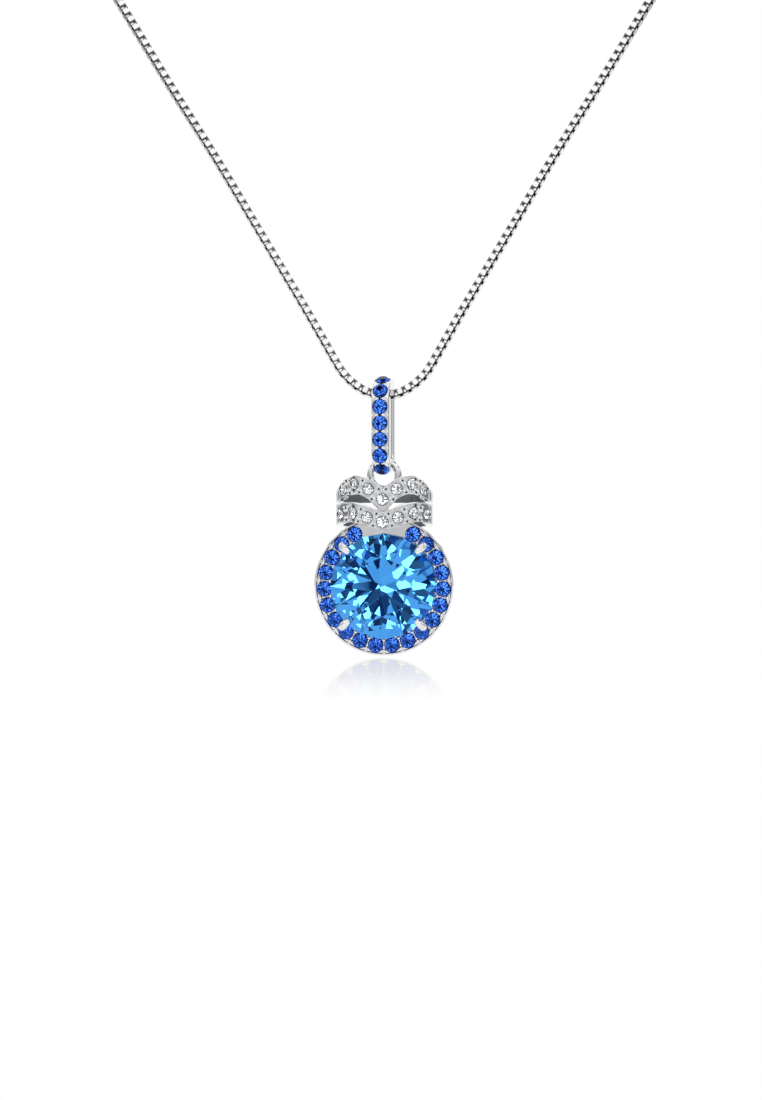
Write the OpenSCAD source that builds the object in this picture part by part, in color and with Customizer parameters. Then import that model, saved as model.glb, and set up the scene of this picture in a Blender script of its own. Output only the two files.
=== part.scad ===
// Pendant necklace: a round stone in a halo, a collar of two pave ribbons, a bail and a box chain.
// The pendant is drawn about the halo's centre, front towards -Y, and then hung below the origin,
// which lies midway between the two points that carry the chain.

/* [Centre stone and halo] */
// Diameter of the centre stone
centre_d = 9; // [8.6:0.1:9]
// Diameter of one halo stone
halo_stone_d = 1.27; // [1.1:0.01:1.3]
// Radius of the ring on which the halo stones sit
halo_ring_r = 5.08; // [5.05:0.01:5.12]
// Outer radius of the halo plate
plate_r = 5.95; // [5.9:0.01:6.1]
// Thickness of the halo plate
plate_t = 1.1; // [0.9:0.1:1.3]
// How far the centre stone's girdle stands in front of the plate
girdle_lift = 1.1; // [1:0.05:1.3]

/* [Collar] */
// Half the width of the collar
collar_half_w = 4.2; // [4.1:0.05:4.4]
// Half the depth of the collar, front to back
collar_half_d = 2.6; // [2.4:0.1:2.8]
// Thickness of the ribbons
ribbon_t = 0.7; // [0.6:0.05:0.8]
// Diameter of one collar stone
collar_stone_d = 0.95; // [0.8:0.05:1]

/* [Ring and bail] */
// Outer diameter of the ring on top of the collar
ring_d = 3; // [2.9:0.1:3.2]
// Wire diameter of that ring
ring_wire = 0.63; // [0.6:0.01:0.65]
// Depth of the bail, front to back
bail_d = 3.8; // [3.7:0.1:4]
// Width of the bail's front leg
bail_w = 1.5; // [1.4:0.1:1.6]
// Thickness of the bail's band
bail_t = 1.05; // [0.95:0.05:1.1]
// Turn of the bail about the vertical as it hangs, in degrees
bail_yaw = -8; // [-12:1:12]
// Diameter of one bail stone
bail_stone_d = 1.25; // [1.1:0.05:1.3]

/* [Chain] */
// Width of the box chain
chain_d = 0.75; // [0.7:0.01:0.76]
// Radius of the coil at the middle of its turns
coil_r = 4.3; // [4.2:0.1:4.5]

/* [Hidden] */
// Height of the carrying points over the halo's centre
drop = 66;
$fn = 48;
gap = 0.02;

// Stones: proportions of a round brilliant, as shares of its diameter.
CROWN = 0.15;
GIRDLE = 0.03;
PAVILION = 0.43;
TABLE = 0.56;

halo_n = 20;
halo_first = 29.55;
halo_pitch = (360 - 2 * halo_first) / (halo_n - 1);
collar_n = 7;
bail_n = 7;
claw_n = 4;

// Along y: the plate's front and back faces and the centre stone's girdle.
plate_front = -0.75;
plate_back = plate_front + plate_t;
plate_hole_r = 3.9;
rim_w = 0.18;
rim_h = 0.1;
girdle_y = plate_front - girdle_lift;

// Gallery behind the plate.
rail_y = 1.6;
rail_r = 4.7;
rail_wire_r = 0.35;
post_r = 0.3;
post_n = 8;

// Head: a claw's side, as [radius, y] from its foot to its folded tip and back, and its base ring.
CLAW = [
    [2.35, 1.75], [4.05, -0.75], [5.05, -1.6], [5.1, -2.3], [4.85, -2.65], [4.3, -2.75],
    [4.05, -2.5], [4.4, -1.8], [3.5, -1.05], [1.95, 1.45]
];
claw_w = 0.6;
base_ring_r = 2.2;
base_ring_y = 1.6;
base_wire_r = 0.3;

// Ribbon edges over the right half of the collar, as [x, z] from the middle to the end.
UPPER_TOP = [[0, 8.42], [0.7, 8.84], [1.3, 9.2], [2.25, 9.45], [3.2, 9.15], [3.9, 8.4], [4.4, 7.6]];
UPPER_LOW = [[0, 6.32], [0.7, 6.85], [1.4, 7.55], [2.5, 7.93], [3.2, 7.75], [3.8, 7.3], [4.4, 7.05]];
LOWER_TOP = [[0, 6.34], [0.8, 6.6], [1.7, 6.95], [2.7, 7.16], [3.5, 7.14], [4.4, 6.9]];
LOWER_LOW = [[0, 4.7], [0.6, 4.85], [1.3, 5.08], [2.1, 5.32], [3.2, 5.48], [4.4, 5.15]];
UPPER_BACK_TOP = [[0, 7.9], [2.2, 7.88], [3.5, 7.78], [4.4, 7.6]];
UPPER_BACK_LOW = [[0, 7.1], [2.2, 7.08], [3.5, 7.06], [4.4, 7.05]];
LOWER_BACK_TOP = [[0, 6.05], [2.2, 6.1], [3.5, 6.4], [4.4, 6.9]];
LOWER_BACK_LOW = [[0, 5.1], [2.2, 5.08], [3.5, 5.05], [4.4, 5.15]];

// Collar stones over the right half, as [x, z]: the middle one first.
UPPER_STONES = [[0, 7.4], [1.25, 8.3], [2.55, 8.72], [3.55, 8.25]];
LOWER_STONES = [[0, 5.48], [1.35, 5.88], [2.68, 6.24], [3.8, 6.12]];

// Ring on the collar, and the bail that passes through it.
ring_z = 9.48;
ring_r = (ring_d - ring_wire) / 2;
bail_r = bail_d / 2;
bail_wire_r = 0.4;
bail_wire_arc_r = 1.45;
bail_fit = 0.06;
bail_bottom_z = ring_z + ring_d / 2 - ring_wire - bail_fit - bail_wire_r;
bail_low_z = bail_bottom_z + bail_wire_arc_r;
bail_slot_r = bail_r - bail_t;
bail_back_w = 1.2;
bail_front_sweep = 64;
bail_back_sweep = 55;
bail_stone_pitch = 1.4;

// Chain: where its middle lies in the bail, and its route over the right half, as [x, z].
chain_z = 16.3;
bail_high_z = chain_z + chain_d / 2 + 0.06 - bail_slot_r;
ARM = [
    [0, 16.3], [0.7, 16.35], [1.4, 16.55], [2.1, 16.9], [2.9, 17.5], [3.8, 18.5], [5.2, 20.9],
    [7.1, 24.2], [10.8, 30.4], [14.5, 36.6], [18.4, 42.8], [22.6, 49.7], [26.8, 56.6], [30.4, 62.5]
];
// Over a carrying point: centre and radius of the bend there.
hold_x = 29.2;
hold_z = 64.3;
hold_r = 2;
// Coil of the chain's spare length, its section, and the fittings on the line to its left.
coil_z = 57.6;
coil_half_w = 1.15;
coil_half_h = 1.55;
line_slope = 8.7;
start_s = 20.7;

function at_polar(r, a) = [r * sin(a), r * cos(a)];
function halo_angle(i) = halo_first + (i - 1) * halo_pitch;
function two_digits(i) = str(i < 10 ? "0" : "", i);

// A smooth line through points (Catmull-Rom), with n steps in each span.
function pick(p, i) = p[max(0, min(len(p) - 1, i))];
function blend4(a, b, c, d, t) = 0.5 * (2 * b + (c - a) * t + (2 * a - 5 * b + 4 * c - d) * t * t
    + (3 * b - a - 3 * c + d) * t * t * t);
function smooth(p, n) = concat(
    [for (i = [0 : len(p) - 2]) for (k = [0 : n - 1])
        blend4(pick(p, i - 1), p[i], p[i + 1], pick(p, i + 2), k / n)],
    [p[len(p) - 1]]
);
function flip(p) = [for (i = [len(p) - 1 : -1 : 0]) p[i]];
function left_of(p) = [for (i = [len(p) - 1 : -1 : 1]) [-p[i][0], p[i][1]]];
function both_halves(p) = concat(left_of(p), p);

// The stones' names, and the list of all nodes.
HALO_NODES = [for (i = [1 : halo_n]) str("halo_stone_", two_digits(i))];
UPPER_NODES = [for (i = [1 : collar_n]) str("upper_stone_", i)];
LOWER_NODES = [for (i = [1 : collar_n]) str("lower_stone_", i)];
BAIL_NODES = [for (i = [1 : bail_n]) str("bail_stone_", i)];

// ---- shared shapes ----

// Hangs what is drawn about the halo's centre below the origin.
module hung() { translate([0, 0, -drop]) children(); }

// Turns the front of a shape, drawn with its axis along +Z, towards -Y.
module facing_front() { rotate([90, 0, 0]) children(); }

// A round brilliant with its table towards +Z and its girdle at z = 0, grown all round by more.
module brilliant(d, more = 0) {
    r = d / 2 + more;
    rotate_extrude()
        polygon([
            [0, -PAVILION * d - more], [r, -GIRDLE * d / 2 - more], [r, GIRDLE * d / 2 + more],
            [TABLE * d / 2 + more, CROWN * d + more], [0, CROWN * d + more]
        ]);
}

// The seat for such a stone, open to the front and drilled through behind.
module seat(d) {
    brilliant(d, gap);
    cylinder(h = d, r = d / 2 + gap);
    translate([0, 0, -d * 1.6]) cylinder(h = d * 1.6, r = d * 0.22);
}

// A round bar between two points.
module bar(a, b, r) {
    v = b - a;
    translate(a)
        rotate([0, acos(v[2] / norm(v)), atan2(v[1], v[0])])
        cylinder(h = norm(v), r = r);
}

module wire_ring(r, wire_r) { rotate_extrude() translate([r, 0]) circle(wire_r); }

// ---- halo, gallery, head and their stones ----

module at_halo_stone(i) {
    p = at_polar(halo_ring_r, halo_angle(i));
    translate([p[0], plate_front - 0.03, p[1]]) facing_front() children();
}

module halo_plate() {
    color("gainsboro") hung() difference() {
        union() {
            translate([0, plate_back, 0]) facing_front() cylinder(h = plate_t, r = plate_r);
            translate([0, plate_front, 0]) facing_front() cylinder(h = rim_h, r = plate_r);
        }
        translate([0, plate_front, 0]) facing_front() cylinder(h = 1, r = plate_r - rim_w);
        translate([0, 2, 0]) facing_front() cylinder(h = 4, r = plate_hole_r);
        for (i = [1 : halo_n]) at_halo_stone(i) seat(halo_stone_d);
    }
}

module gallery() {
    color("gainsboro") hung() {
        translate([0, rail_y, 0]) facing_front() wire_ring(rail_r, rail_wire_r);
        for (k = [0 : post_n - 1]) {
            p = at_polar(rail_r, (k + 0.5) * 360 / post_n);
            bar([p[0], plate_back, p[1]], [p[0], rail_y, p[1]], post_r);
        }
    }
}

module claw() { translate([0, 0, -claw_w / 2]) linear_extrude(claw_w) polygon(CLAW); }

module head() {
    color("gainsboro") hung() difference() {
        union() {
            translate([0, base_ring_y, 0]) facing_front() wire_ring(base_ring_r, base_wire_r);
            for (k = [0 : claw_n - 1]) rotate([0, 45 + k * 360 / claw_n, 0]) claw();
        }
        at_centre_stone() brilliant(centre_d, gap);
    }
}

module at_centre_stone() { translate([0, girdle_y, 0]) facing_front() children(); }
module centre_stone() { color("deepskyblue") hung() at_centre_stone() brilliant(centre_d); }
module halo_stone(i) { color("royalblue") hung() at_halo_stone(i) brilliant(halo_stone_d); }

// ---- collar ----

module oval(half_w, half_d) {
    n = 40;
    polygon([for (i = [0 : n - 1]) [half_w * cos(i * 360 / n), half_d * sin(i * 360 / n)]]);
}

// The strip between two edges, as seen from the front, from y = y0 to y = y1.
module strip(top, low, y0, y1) {
    outline = concat(both_halves(smooth(low, 4)), flip(both_halves(smooth(top, 4))));
    translate([0, y1, 0]) rotate([90, 0, 0]) linear_extrude(y1 - y0) polygon(outline);
}

// A closed oval band: the front follows one pair of edges and the back another.
module ribbon(top, low, back_top, back_low) {
    reach = collar_half_d + 1;
    intersection() {
        translate([0, 0, 4]) linear_extrude(6) difference() {
            oval(collar_half_w, collar_half_d);
            oval(collar_half_w - ribbon_t, collar_half_d - ribbon_t);
        }
        union() {
            strip(top, low, -reach, 0);
            strip(back_top, back_low, 0, reach);
        }
    }
}

// Places a stone on the front of the collar, its table along the oval's own normal there.
module at_collar_stone(p, side) {
    x = side * p[0];
    y = -collar_half_d * sqrt(1 - pow(x / collar_half_w, 2));
    turn = atan2(x / pow(collar_half_w, 2), -y / pow(collar_half_d, 2));
    translate([x, y, p[1]]) rotate([0, 0, turn]) translate([0, 0.06, 0]) facing_front() children();
}

// Stone i of a row of seven, counted from the left.
module at_row_stone(row, i) {
    k = i - (collar_n + 1) / 2;
    at_collar_stone(row[abs(k)], k < 0 ? -1 : 1) children();
}

module upper_ribbon() {
    color("gainsboro") hung() difference() {
        ribbon(UPPER_TOP, UPPER_LOW, UPPER_BACK_TOP, UPPER_BACK_LOW);
        for (i = [1 : collar_n]) at_row_stone(UPPER_STONES, i) seat(collar_stone_d);
    }
}

module lower_ribbon() {
    color("gainsboro") hung() difference() {
        ribbon(LOWER_TOP, LOWER_LOW, LOWER_BACK_TOP, LOWER_BACK_LOW);
        for (i = [1 : collar_n]) at_row_stone(LOWER_STONES, i) seat(collar_stone_d);
    }
}

module upper_stone(i) { color("white") hung() at_row_stone(UPPER_STONES, i) brilliant(collar_stone_d); }
module lower_stone(i) { color("white") hung() at_row_stone(LOWER_STONES, i) brilliant(collar_stone_d); }

// The bar inside the collar: from the plate's top, up behind both ribbons, to the ring.
module collar_bridge() {
    front = -collar_half_d + ribbon_t - gap;
    w = 1;
    color("silver") hung() translate([-w / 2, 0, 0]) rotate([90, 0, 90]) linear_extrude(w)
        polygon([
            [front, 5.3], [plate_back, 5.3], [plate_back, 6.2], [front + 0.7, 6.2],
            [front + 0.7, 7.5], [0.35, 7.5], [0.35, 8.15], [front, 8.15]
        ]);
}

module top_ring() {
    color("gainsboro") hung() translate([0, 0, ring_z]) facing_front() wire_ring(ring_r, ring_wire / 2);
}

// ---- bail ----

// Turns a profile in the XY plane into the bail's own plane, YZ.
module in_bail_plane() { rotate([90, 0, 90]) children(); }
module in_bail() { rotate([0, 0, bail_yaw]) children(); }

module band_section(w) { translate([bail_slot_r, -w / 2]) square([bail_t, w]); }

module bail_leg(side, w) {
    y0 = side > 0 ? bail_slot_r : -bail_r;
    translate([-w / 2, y0, bail_low_z]) cube([w, bail_t, bail_high_z - bail_low_z]);
}

module bail() {
    color("gainsboro") hung() in_bail() difference() {
        union() {
            bail_leg(-1, bail_w);
            bail_leg(1, bail_back_w);
            translate([0, 0, bail_high_z]) in_bail_plane() rotate_extrude(angle = 90) band_section(bail_back_w);
            translate([0, 0, bail_high_z]) in_bail_plane() rotate([0, 0, 90])
                rotate_extrude(angle = 90) band_section(bail_w);
            translate([0, 0, bail_low_z]) in_bail_plane() rotate([0, 0, 180])
                rotate_extrude(angle = bail_front_sweep) band_section(bail_w);
            translate([0, 0, bail_low_z]) in_bail_plane() rotate([0, 0, -bail_back_sweep])
                rotate_extrude(angle = bail_back_sweep) band_section(bail_back_w);
            translate([0, 0, bail_low_z]) in_bail_plane() rotate([0, 0, 180 + bail_front_sweep - 5])
                rotate_extrude(angle = 190 - bail_front_sweep - bail_back_sweep)
                translate([bail_wire_arc_r, 0]) circle(bail_wire_r);
        }
        for (i = [1 : bail_n]) at_bail_stone(i) seat(bail_stone_d);
    }
}

// Stone i down the bail's front. s is the height of its place if the front were unrolled.
module at_bail_stone(i) {
    s = bail_low_z + (bail_n + 1 - i - 2.17) * bail_stone_pitch;
    high = max(0, s - bail_high_z) * 180 / (PI * bail_r);
    low = max(0, bail_low_z - s) * 180 / (PI * bail_r);
    z = min(max(s, bail_low_z), bail_high_z);
    translate([0, 0, z]) rotate([low - high, 0, 0]) translate([0, -bail_r + 0.02, 0])
        facing_front() children();
}

module bail_stone(i) { color("royalblue") hung() in_bail() at_bail_stone(i) brilliant(bail_stone_d); }

// ---- chain ----

// The bend over the right carrying point, from the arm's direction to the line's.
HOLD_BEND = [for (a = [-10 : 22.5 : 80]) [hold_x + hold_r * cos(a), hold_z + hold_r * sin(a)]];
// Where a line that slopes down to the coil touches the coil's middle turn, at its top.
COIL_TOP = [-coil_r * sin(line_slope), coil_z + coil_r * cos(line_slope)];
// A point on the left line, s from the coil's top.
function on_left(s) = [COIL_TOP[0] - s * cos(line_slope), COIL_TOP[1] + s * sin(line_slope)];
ROUTE = concat(
    [on_left(start_s)],
    [for (p = flip(HOLD_BEND)) [-p[0], p[1]]],
    both_halves(ARM),
    HOLD_BEND,
    [[24, 65.6], [16, 64.4], [8, 63.2], [1.5, 62.2]]
);

// A tube of n sides swept along points in the XZ plane.
module tube(points, r, n) {
    last = len(points) - 1;
    heading = [for (i = [0 : last]) pick(points, i + 1) - pick(points, i - 1)];
    rings = [for (i = [0 : last]) let (side = [-heading[i][1], heading[i][0]] / norm(heading[i]))
        for (k = [0 : n - 1]) let (a = (k + 0.5) * 360 / n)
        [points[i][0] + r * cos(a) * side[0], r * sin(a), points[i][1] + r * cos(a) * side[1]]];
    walls = [for (i = [0 : last - 1]) for (k = [0 : n - 1])
        let (a = i * n + k, b = i * n + (k + 1) % n) each [[a, a + n, b], [b, a + n, b + n]]];
    first_cap = [for (k = [0 : n - 1]) k];
    last_cap = [for (k = [n - 1 : -1 : 0]) last * n + k];
    polyhedron(rings, concat([first_cap], walls, [last_cap]), convexity = 10);
}

module chain_run() { color("silver") hung() tube(smooth(ROUTE, 2), chain_d / 2, 8); }

module in_coil() { translate([0, 0, coil_z]) rotate([90, 0, 0]) children(); }

module chain_coil() {
    color("silver") hung() in_coil() rotate_extrude()
        translate([coil_r - coil_half_w, -coil_half_h]) square([2 * coil_half_w, 2 * coil_half_h]);
}

module coil_tie() {
    wall = 0.35;
    room = 0.08;
    w = 2 * (coil_half_w + room);
    h = 2 * (coil_half_h + room);
    color("dimgray") hung() translate([coil_r, 0, coil_z - 0.35]) linear_extrude(0.7) difference() {
        square([w + 2 * wall, h + 2 * wall], center = true);
        square([w, h], center = true);
    }
}

// ---- clasp and end fittings, drawn on the line to the left of the coil ----

// s runs along the line away from the coil, and is the fittings' own +X.
module on_line(s) {
    p = on_left(s);
    translate([p[0], 0, p[1]]) rotate([0, line_slope, 0]) rotate([0, 0, 180]) children();
}

// Where each fitting lies along the line: the two caps' inner ends, the rings and the clasp's tip.
cap_b_s = 5.3;
end_ring_s = 7.85;
tip_s = 8.45;
clasp_ring_s = 17.65;
cap_a_s = 19.6;

cap_r = 0.55;
cap_l = 2;
loop_r = 0.65;
loop_wire_r = 0.2;
ring_wire_r = 0.3;
end_ring_r = 1.9;
clasp_ring_r = 1.3;
clasp_l = 9;
clasp_t = 1;
eye_x = 1.1;
eye_r = 0.55;

// An end cap with its loop: the cap runs back from s, and the loop lies ahead of it.
module end_cap(s, ahead) {
    on_line(s) mirror([ahead > 0 ? 0 : 1, 0, 0]) {
        translate([-cap_l, 0, 0]) rotate([0, 90, 0]) cylinder(h = cap_l, r = cap_r);
        translate([loop_r - 0.1, 0, 0]) facing_front() wire_ring(loop_r, loop_wire_r);
    }
}

module end_caps() {
    color("silver") hung() {
        end_cap(cap_b_s, 1);
        end_cap(cap_a_s, -1);
    }
}

module end_ring() { color("silver") hung() on_line(end_ring_s) wire_ring(end_ring_r, ring_wire_r); }
module clasp_ring() { color("silver") hung() on_line(clasp_ring_s) wire_ring(clasp_ring_r, ring_wire_r); }

// The clasp's own frame: x from its eye (0) to its tip, y its thickness, z its width.
module in_clasp() { on_line(tip_s) mirror([1, 0, 0]) translate([-clasp_l, 0, 0]) children(); }

// The lever's pivot in the clasp, and the gate that it closes, from gate_x0 to gate_x1.
pivot = [3.9, 1.25];
pivot_boss_r = 0.55;
gate_x0 = 4.9;
gate_x1 = 7.5;
lever_t = 0.5;
lever_fit = 0.05;
pin_r = 0.25;

module stadium(x0, x1, r) {
    translate([x0 + r, 0]) circle(r);
    translate([x1 - r, 0]) circle(r);
    translate([x0 + r, -r]) square([x1 - x0 - 2 * r, 2 * r]);
}

module clasp_body() {
    color("silver") hung() in_clasp() difference() {
        rotate([90, 0, 0]) translate([0, 0, -clasp_t / 2]) linear_extrude(clasp_t) difference() {
            union() {
                stadium(0, 4, 1.1);
                stadium(1.6, clasp_l, 1.9);
            }
            translate([eye_x, 0]) circle(eye_r);
            stadium(4.5, clasp_l - 0.85, 1);
            translate([gate_x0, 0]) square([gate_x1 - gate_x0, 3]);
        }
        translate([2.3, -lever_t / 2 - lever_fit, 0.15]) cube([3, lever_t + 2 * lever_fit, 3]);
        translate([pivot[0], clasp_t, pivot[1]]) facing_front() cylinder(h = 2 * clasp_t, r = pin_r);
    }
}

module clasp_pin() {
    color("silver") hung() in_clasp() translate([pivot[0], clasp_t / 2, pivot[1]]) facing_front()
        cylinder(h = clasp_t, r = pin_r);
}

// The spring's coil, round the pin beside the lever.
module clasp_spring() {
    color("dimgray") hung() in_clasp() translate([2.75, 0, 0.45]) facing_front()
        wire_ring(0.2, 0.08);
}

module clasp_lever() {
    color("silver") hung() in_clasp() difference() {
        rotate([90, 0, 0]) translate([0, 0, -lever_t / 2]) linear_extrude(lever_t) difference() {
            union() {
                translate(pivot) circle(pivot_boss_r);
                polygon([
                    [3.95, 0.72], [5.3, 1.1], [7.3, 1.1], [7.3, 1.55], [5.9, 1.7], [5.6, 2.35],
                    [5.0, 2.35], [4.7, 1.78], [3.95, 1.78]
                ]);
            }
            translate(pivot) circle(pin_r + lever_fit);
        }
    }
}

halo_plate();
gallery();
head();
centre_stone();
for (i = [1 : halo_n]) halo_stone(i);
lower_ribbon();
upper_ribbon();
collar_bridge();
top_ring();
for (i = [1 : collar_n]) upper_stone(i);
for (i = [1 : collar_n]) lower_stone(i);
bail();
for (i = [1 : bail_n]) bail_stone(i);
chain_run();
chain_coil();
coil_tie();
end_caps();
clasp_ring();
end_ring();
clasp_body();
clasp_pin();
clasp_spring();
clasp_lever();
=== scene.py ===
import math

import bmesh
import bpy
import numpy as np
from mathutils import Matrix, Vector


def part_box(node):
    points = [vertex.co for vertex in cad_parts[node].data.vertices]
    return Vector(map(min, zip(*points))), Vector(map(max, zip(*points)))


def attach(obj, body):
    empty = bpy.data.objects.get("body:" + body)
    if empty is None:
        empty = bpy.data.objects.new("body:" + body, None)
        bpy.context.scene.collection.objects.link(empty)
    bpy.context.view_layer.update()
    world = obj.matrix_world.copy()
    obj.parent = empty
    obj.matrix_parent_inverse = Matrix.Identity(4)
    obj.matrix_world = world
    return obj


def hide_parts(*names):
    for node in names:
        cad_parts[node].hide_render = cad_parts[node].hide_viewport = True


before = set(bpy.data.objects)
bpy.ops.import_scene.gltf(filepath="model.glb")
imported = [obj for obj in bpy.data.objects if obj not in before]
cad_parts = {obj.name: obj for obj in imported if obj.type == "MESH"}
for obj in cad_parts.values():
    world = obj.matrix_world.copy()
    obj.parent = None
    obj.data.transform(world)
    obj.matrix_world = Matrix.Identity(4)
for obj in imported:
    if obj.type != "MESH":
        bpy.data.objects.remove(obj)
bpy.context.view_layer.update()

MM = 0.001
scene = bpy.context.scene


# ---- Camera and studio -------------------------------------------------------------------
# A long lens a little above the pendant and to its right, in a white tent with a few dark
# cards: polished metal shows white with thin black lines, and the stones get their contrast.
LENS_MM = 100
DISTANCE = 262 * MM
CAMERA_RIGHT = math.radians(4)
CAMERA_UP = math.radians(1.2)
AIM_OFF_HALO = Vector((-0.3, 0, 3.06)) * MM
TENT_STRENGTH = 1.15
PAPER_GREY = 0.87
SPARK_CELLS = 6.5
SPARK_STRENGTH = 5.5

# Greys of the tent by height, from the floor at 0 to the roof at 1, with a black bar near the top.
WALLS = [
    (0, 0.1), (0.25, 0.2), (0.42, 0.45), (0.55, 0.62), (0.64, 0.95),
    (0.85, 1), (0.87, 0.03), (0.9, 0.03), (0.93, 1),
]
# Greys by the distance to either side: a narrow black card stands on each.
CARDS = [(0.72, 1), (0.78, 0.7), (0.8, 0.03), (0.84, 0.03), (0.86, 1), (0.92, 1), (0.97, 0.35)]
# Greys of the small cards that the stones look at, by the share of each grey.
SPARKS = [
    (0, 0.004), (0.24, 0.006), (0.28, 0.035), (0.42, 0.05), (0.47, 0.11),
    (0.6, 0.13), (0.65, 0.21), (0.76, 0.25), (0.79, 1),
]

plate_low, plate_high = (Vector(corner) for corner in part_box("halo_plate"))
halo = Vector(((plate_low.x + plate_high.x) / 2, 0, (plate_low.z + plate_high.z) / 2))
aim = halo + AIM_OFF_HALO

camera = bpy.data.objects.new("camera", bpy.data.cameras.new("camera"))
camera.data.lens = LENS_MM
camera.data.clip_start = 0.01
camera.location = aim + DISTANCE * Vector(
    (
        math.sin(CAMERA_RIGHT) * math.cos(CAMERA_UP),
        -math.cos(CAMERA_RIGHT) * math.cos(CAMERA_UP),
        math.sin(CAMERA_UP),
    )
)
camera.rotation_euler = (aim - camera.location).to_track_quat("-Z", "Y").to_euler()
scene.collection.objects.link(camera)
scene.camera = camera
scene.view_settings.view_transform = "Standard"


def add(tree, kind, inputs=None, **settings):
    """Adds a node to a tree: settings are its properties, and inputs its values and links."""
    node = tree.nodes.new(kind)
    for name, value in settings.items():
        setattr(node, name, value)
    for name, value in (inputs or {}).items():
        if isinstance(value, bpy.types.NodeSocket):
            tree.links.new(value, node.inputs[name])
        else:
            node.inputs[name].default_value = value
    return node


def ramp(node, stops):
    """Sets a colour ramp's stops, as (position, grey)."""
    elements = node.color_ramp.elements
    while len(elements) < len(stops):
        elements.new(0.5)
    for element, (position, grey) in zip(elements, stops):
        element.position = position
        element.color = (grey, grey, grey, 1)
    return node.outputs["Color"]


world = bpy.data.worlds.new("tent")
scene.world = world
world.use_nodes = True
tent = world.node_tree
tent.nodes.clear()
way = add(tent, "ShaderNodeTexCoord").outputs["Generated"]
axis = add(tent, "ShaderNodeSeparateXYZ", {0: way}).outputs
height = add(tent, "ShaderNodeMapRange", {"Value": axis["Z"], "From Min": -1, "From Max": 1})
walls = ramp(add(tent, "ShaderNodeValToRGB", {"Fac": height.outputs[0]}), WALLS)
sideways = add(tent, "ShaderNodeMath", {0: axis["X"]}, operation="ABSOLUTE")
cards = ramp(add(tent, "ShaderNodeValToRGB", {"Fac": sideways.outputs[0]}), CARDS)
lit = add(tent, "ShaderNodeMix", {0: 1, 6: walls, 7: cards}, data_type="RGBA", blend_type="MULTIPLY")
# White paper hangs behind the pendant.
behind = add(
    tent,
    "ShaderNodeMapRange",
    {"Value": axis["Y"], "From Min": 0.9, "From Max": 0.94, "To Min": 0, "To Max": PAPER_GREY},
)
lit = add(
    tent,
    "ShaderNodeMix",
    {0: 1, 6: lit.outputs[2], 7: behind.outputs[0]},
    data_type="RGBA",
    blend_type="LIGHTEN",
)
studio = add(tent, "ShaderNodeBackground", {"Color": lit.outputs[2], "Strength": TENT_STRENGTH})
# What comes out of a stone has met many small bright and dark cards round the lens.
cells = add(tent, "ShaderNodeTexVoronoi", {"Vector": way, "Scale": SPARK_CELLS})
pick = add(tent, "ShaderNodeSeparateColor", {0: cells.outputs["Color"]})
spark = ramp(add(tent, "ShaderNodeValToRGB", {"Fac": pick.outputs[0]}), SPARKS)
sparks = add(tent, "ShaderNodeBackground", {"Color": spark, "Strength": SPARK_STRENGTH})
path = add(tent, "ShaderNodeLightPath").outputs
studio = add(
    tent,
    "ShaderNodeMixShader",
    {0: path["Is Transmission Ray"], 1: studio.outputs[0], 2: sparks.outputs[0]},
)
paper = add(tent, "ShaderNodeBackground", {"Color": (1, 1, 1, 1), "Strength": 1})
mixed = add(
    tent,
    "ShaderNodeMixShader",
    {0: path["Is Camera Ray"], 1: studio.outputs[0], 2: paper.outputs[0]},
)
add(tent, "ShaderNodeOutputWorld", {"Surface": mixed.outputs[0]})


# ---- White table -------------------------------------------------------------------------
# A sheet of white acrylic under the pendant, polished and lit from below. It isn't part of the
# necklace: it only gives back a faint mirror image.
TABLE_HALF = 160 * MM
TABLE_GAP = 0.1 * MM
MIRROR_SHARE = 0.32
MIRROR_REACH = 60 * MM
table_z = plate_low.z - TABLE_GAP
halo_foot = (halo.x, halo.y, table_z)


def white_acrylic():
    """Acrylic that glows evenly white, with a mirror image where its polish is fresh."""
    material = bpy.data.materials.new("white_acrylic_polished")
    material.use_nodes = True
    tree = material.node_tree
    tree.nodes.clear()
    white = add(tree, "ShaderNodeEmission", {"Color": (1, 1, 1, 1), "Strength": 1})
    mirror = add(tree, "ShaderNodeBsdfGlossy", {"Color": (1, 1, 1, 1), "Roughness": 0.035})
    place = add(tree, "ShaderNodeTexCoord").outputs["Object"]
    away = add(tree, "ShaderNodeVectorMath", {0: place, 1: halo_foot}, operation="DISTANCE")
    # The polish wears off away from the pendant, so the image fades with height.
    share = add(
        tree,
        "ShaderNodeMapRange",
        {
            "Value": away.outputs["Value"],
            "From Min": MIRROR_REACH,
            "From Max": 0,
            "To Min": 0,
            "To Max": MIRROR_SHARE,
        },
        interpolation_type="SMOOTHSTEP",
    )
    both = add(
        tree,
        "ShaderNodeMixShader",
        {0: share.outputs[0], 1: white.outputs[0], 2: mirror.outputs[0]},
    )
    add(tree, "ShaderNodeOutputMaterial", {"Surface": both.outputs[0]})
    return material


table_mesh = bpy.data.meshes.new("table")
corners = [(x * TABLE_HALF, y * TABLE_HALF) for x, y in ((-1, -1), (1, -1), (1, 1), (-1, 1))]
table_mesh.from_pydata([(x, y, table_z) for x, y in corners], [], [(0, 1, 2, 3)])
table_mesh.materials.append(white_acrylic())
table = bpy.data.objects.new("table", table_mesh)
scene.collection.objects.link(table)


# ---- Chain -------------------------------------------------------------------------------
# Box chain in rhodium-plated silver: square links bent from flat wire, each turned a quarter
# turn from the last. The length that isn't worn lies in a tied coil behind the clasp.
CHAIN_W = 0.75
LINK_PITCH = 0.395
LINK_LONG = 0.63
LINK_ACROSS = 0.7
LINK_STRIP = 0.45
LINK_WIRE = 0.13
LINK_CORNER = 0.12
LINK_CORNER_SHRINK = 0.8
CHAIN_ROLL = math.radians(-22)

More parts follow.
